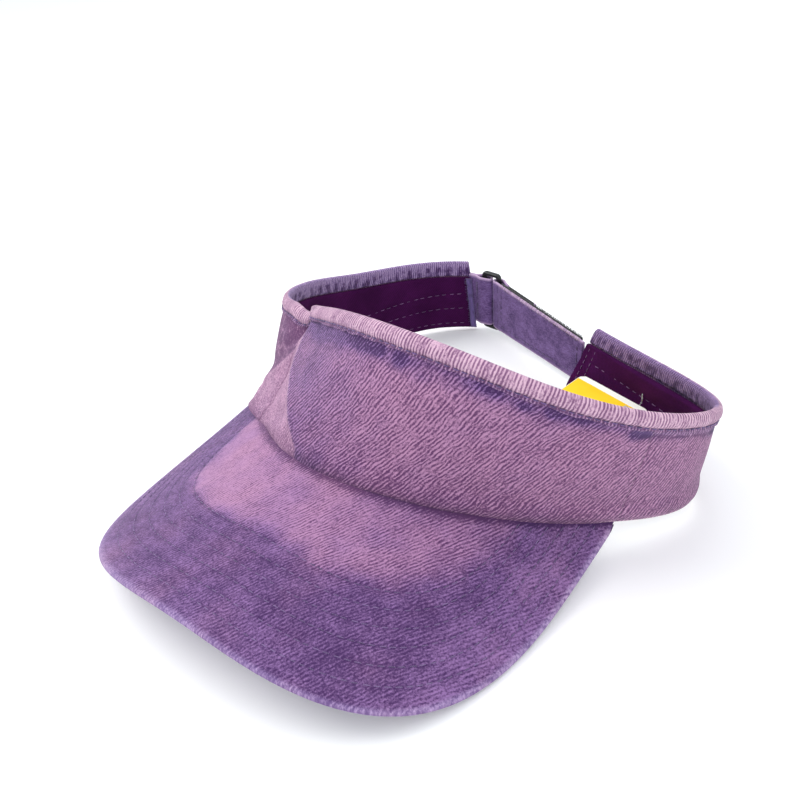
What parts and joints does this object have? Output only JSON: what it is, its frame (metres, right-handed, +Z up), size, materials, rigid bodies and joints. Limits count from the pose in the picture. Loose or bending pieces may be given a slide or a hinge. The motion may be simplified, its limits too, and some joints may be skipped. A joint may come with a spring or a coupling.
{
  "type": "sun visor",
  "caption": "Washed-twill sun visor: curved stiffened bill, open-crown headband with bound rim, dark sweatband, and a hook-and-loop strap through a ring.",
  "frame": {"origin": "on the table under the middle of the head opening, in the bill's middle plane", "axes": "+Z up out of the head opening, -Y from the head opening to the bill's front edge, +X to the wearer's left"},
  "size_m": [0.2091, 0.2545, 0.0938],
  "materials": {
    "twill_band": "pigment-washed diagonal twill, faded pink on the ribs",
    "twill_rim": "washed twill binding, puckered and worn pale",
    "twill_bill": "pigment-washed twill, blue-violet with a faded pink middle",
    "lining_twill": "unwashed dark plum cotton",
    "strap_twill": "brushed purple cotton strap with whipped edges",
    "raw_edge": "raw cut cloth edge, slightly frayed",
    "thread": "sewing thread",
    "lining_thread": "sewing thread",
    "grip_tape": "black woven hook-and-loop tape",
    "black_plastic": "moulded, satin",
    "board_plastic": "plain polyethylene sheet",
    "tag_card": "coated card, yellow face and white edge, no print",
    "clear_nylon": "moulded nylon"
  },
  "bodies": {
    "visor": {"side_panel_right": "twill_band", "front_panel": "twill_band", "side_panel_left": "twill_band", "rim_binding": "twill_rim", "rim_stitching": "thread", "sweatband": "lining_twill", "sweatband_stitching": "lining_thread", "end_strip_right": "raw_edge", "end_stitching_left": "lining_thread", "bill_top_cover": "twill_bill", "bill_under_cover": "twill_bill", "bill_board": "board_plastic", "bill_stitching": "thread", "ring_tab": "strap_twill", "tab_bar_tacks": "thread"},
    "ring": {"ring": "black_plastic"},
    "strap": {"strap": "strap_twill", "loop_tape": "grip_tape", "loop_tape_stitching": "thread"},
    "tail_base": {"tail_base": "strap_twill"},
    "tail_end": {"tail_end": "strap_twill", "hook_patch": "grip_tape", "hook_patch_stitching": "thread"},
    "tag": {"hang_tag": "tag_card", "tag_pin": "clear_nylon"}
  },
  "joints": [
    {"name": "ring_swing", "type": "hinge", "parent": "visor", "child": "ring", "pos_m": [-0.043, 0.1034, 0.0195], "axis": [0, 0, 1], "range_deg": [-8, 8]},
    {"name": "strap_swing", "type": "hinge", "parent": "visor", "child": "strap", "pos_m": [0.03, 0.0724, 0.0195], "axis": [0, 0, 1], "range_deg": [-1.5, 1.5]},
    {"name": "tail_peel", "type": "hinge", "parent": "strap", "child": "tail_base", "pos_m": [-0.03345, 0.1024, 0.0195], "axis": [0, 0, 1], "range_deg": [0, 120]},
    {"name": "tail_slide", "type": "slide", "parent": "tail_base", "child": "tail_end", "axis": [0.9187, -0.3949, 0], "range_m": [0, 0.022]},
    {"name": "tag_swing", "type": "hinge", "parent": "visor", "child": "tag", "pos_m": [0.0706, 0.0506, 0.024], "axis": [-0.9489, 0.3156, 0], "range_deg": [0, 75]}
  ],
  "couplings": [
    {"joint": "strap_swing", "follows": "ring_swing", "ratio": -0.1307}
  ]
}
